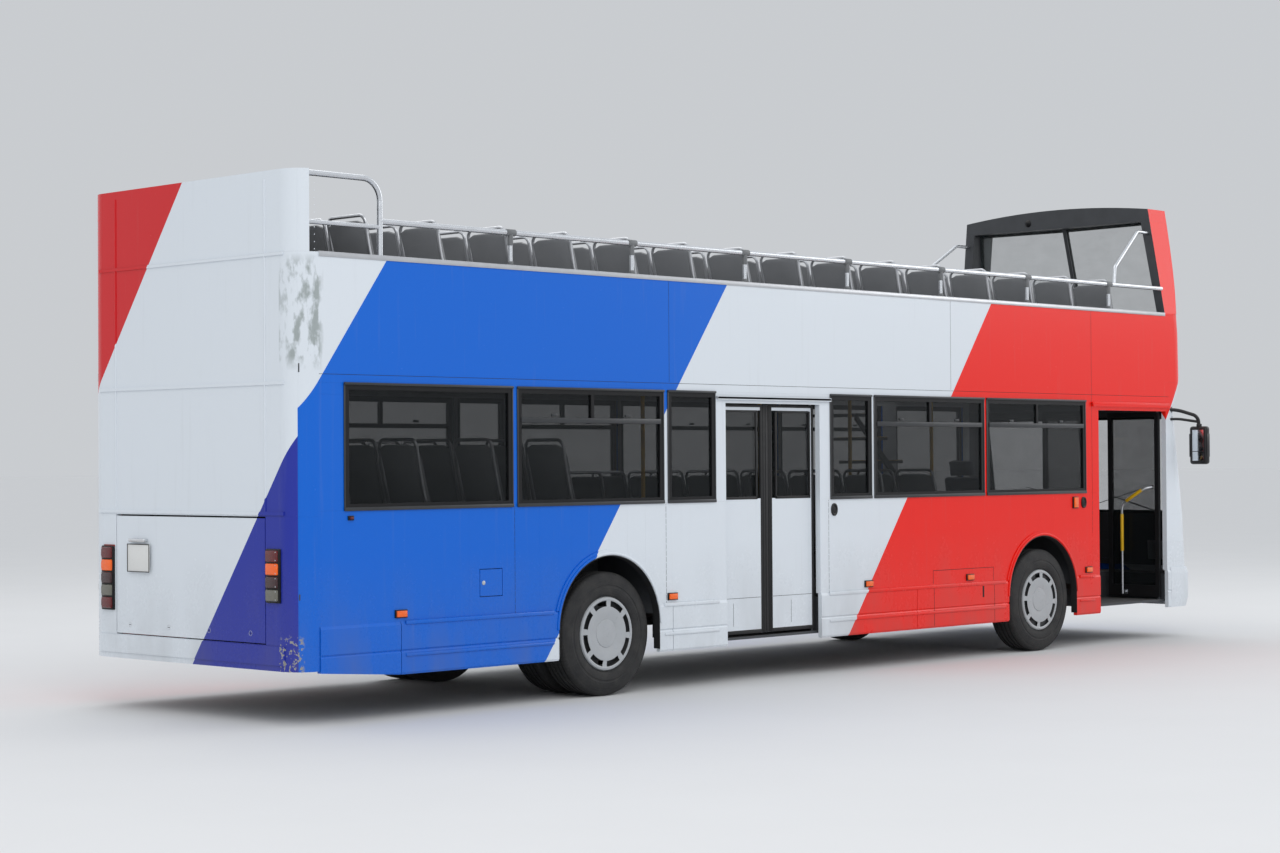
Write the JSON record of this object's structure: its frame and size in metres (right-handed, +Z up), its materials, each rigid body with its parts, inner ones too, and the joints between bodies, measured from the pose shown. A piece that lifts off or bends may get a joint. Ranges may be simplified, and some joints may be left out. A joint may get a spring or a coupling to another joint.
{
  "type": "open top double decker bus",
  "caption": "Open top double decker bus with double doors on its right side, a front hoop with an upper windscreen, handrails and rows of seats on an open upper deck.",
  "frame": {"origin": "on the ground, in the middle of the overall length and width", "axes": "+X forward, +Y to the bus's left, +Z up"},
  "size_m": [11.48, 3.05, 4.35],
  "materials": {
    "white_paint": "gloss",
    "red_paint": "gloss",
    "blue_paint": "gloss",
    "black_frame": "satin",
    "tinted_glass": "clear",
    "chassis_steel": "satin",
    "engine_iron": "rough",
    "axle_iron": "rough",
    "floor_vinyl": "matt",
    "grey_plastic": "satin",
    "tube_steel": "brushed",
    "tyre_rubber": "matt",
    "wheel_paint": "satin",
    "lamp_plastic": "gloss",
    "mirror_plastic": "matt"
  },
  "bodies": {
    "body": {"right_side_wall": "white_paint", "left_side_wall": "white_paint", "skirt_panels": "white_paint", "upper_side_panels": "white_paint", "rear_wall": "blue_paint", "nose_panel": "red_paint", "front_mask": "white_paint", "bumper": "white_paint", "upper_hoop": "red_paint", "windscreens": "tinted_glass", "window_frames": "black_frame", "side_windows": "tinted_glass", "lower_floor": "floor_vinyl", "upper_floor": "floor_vinyl", "chassis_frame": "chassis_steel", "engine_block": "engine_iron", "rear_axle": "axle_iron", "front_axle": "axle_iron", "handrails": "tube_steel", "upper_seats": "grey_plastic", "lower_seats": "grey_plastic", "driver_place": "grey_plastic", "stairs": "floor_vinyl", "lamps": "lamp_plastic", "mirrors": "mirror_plastic"},
    "knuckle_right": {"knuckle_right": "axle_iron"},
    "front_wheel_right": {"front_tyre_right": "tyre_rubber", "front_rim_right": "wheel_paint"},
    "rear_wheels_right": {"rear_tyres_right": "tyre_rubber", "rear_rims_right": "wheel_paint"},
    "knuckle_left": {"knuckle_left": "axle_iron"},
    "front_wheel_left": {"front_tyre_left": "tyre_rubber", "front_rim_left": "wheel_paint"},
    "rear_wheels_left": {"rear_tyres_left": "tyre_rubber", "rear_rims_left": "wheel_paint"},
    "mid_door_rear": {"mid_door_rear_leaf": "black_frame", "mid_door_rear_glass": "tinted_glass"},
    "mid_door_front": {"mid_door_front_leaf": "black_frame", "mid_door_front_glass": "tinted_glass"},
    "front_door_rear": {"front_door_rear_leaf": "black_frame", "front_door_rear_glass": "tinted_glass"},
    "front_door_front": {"front_door_front_leaf": "black_frame", "front_door_front_glass": "tinted_glass"},
    "engine_hatch": {"engine_hatch": "blue_paint"},
    "fuel_flap": {"fuel_flap": "white_paint"}
  },
  "joints": [
    {"name": "steer_right", "type": "hinge", "parent": "body", "child": "knuckle_right", "pos_m": [3.01, -0.9, 0.475], "axis": [0, 0, 1], "range_deg": [-42, 42]},
    {"name": "front_wheel_right_spin", "type": "hinge", "parent": "knuckle_right", "child": "front_wheel_right", "pos_m": [3.01, -1.09, 0.475], "axis": [0, 1, 0], "continuous": true},
    {"name": "rear_wheels_right_spin", "type": "hinge", "parent": "body", "child": "rear_wheels_right", "pos_m": [-2.74, -0.925, 0.475], "axis": [0, 1, 0], "continuous": true},
    {"name": "steer_left", "type": "hinge", "parent": "body", "child": "knuckle_left", "pos_m": [3.01, 0.9, 0.475], "axis": [0, 0, 1], "range_deg": [-42, 42]},
    {"name": "front_wheel_left_spin", "type": "hinge", "parent": "knuckle_left", "child": "front_wheel_left", "pos_m": [3.01, 1.09, 0.475], "axis": [0, 1, 0], "continuous": true},
    {"name": "rear_wheels_left_spin", "type": "hinge", "parent": "body", "child": "rear_wheels_left", "pos_m": [-2.74, 0.925, 0.475], "axis": [0, 1, 0], "continuous": true},
    {"name": "mid_door_rear_swing", "type": "hinge", "parent": "body", "child": "mid_door_rear", "pos_m": [-1.375, -1.168, 1.3], "axis": [0, 0, 1], "range_deg": [0, 86]},
    {"name": "mid_door_front_swing", "type": "hinge", "parent": "body", "child": "mid_door_front", "pos_m": [-0.25, -1.168, 1.3], "axis": [0, 0, 1], "range_deg": [-86, 0]},
    {"name": "front_door_rear_swing", "type": "hinge", "parent": "body", "child": "front_door_rear", "pos_m": [3.99, -1.168, 1.3], "axis": [0, 0, 1], "range_deg": [-90, 0]},
    {"name": "front_door_front_swing", "type": "hinge", "parent": "body", "child": "front_door_front", "pos_m": [5.139, -1.168, 1.3], "axis": [0, 0, 1], "range_deg": [0, 90]},
    {"name": "engine_hatch_lift", "type": "hinge", "parent": "body", "child": "engine_hatch", "pos_m": [-5.717, 0, 1.399], "axis": [0, 1, 0], "range_deg": [0, 80]},
    {"name": "fuel_flap_swing", "type": "hinge", "parent": "body", "child": "fuel_flap", "pos_m": [-3.869, -1.245, 0.915], "axis": [0, 0, 1], "range_deg": [0, 110]}
  ],
  "couplings": [
    {"joint": "steer_left", "follows": "steer_right", "ratio": 1}
  ]
}
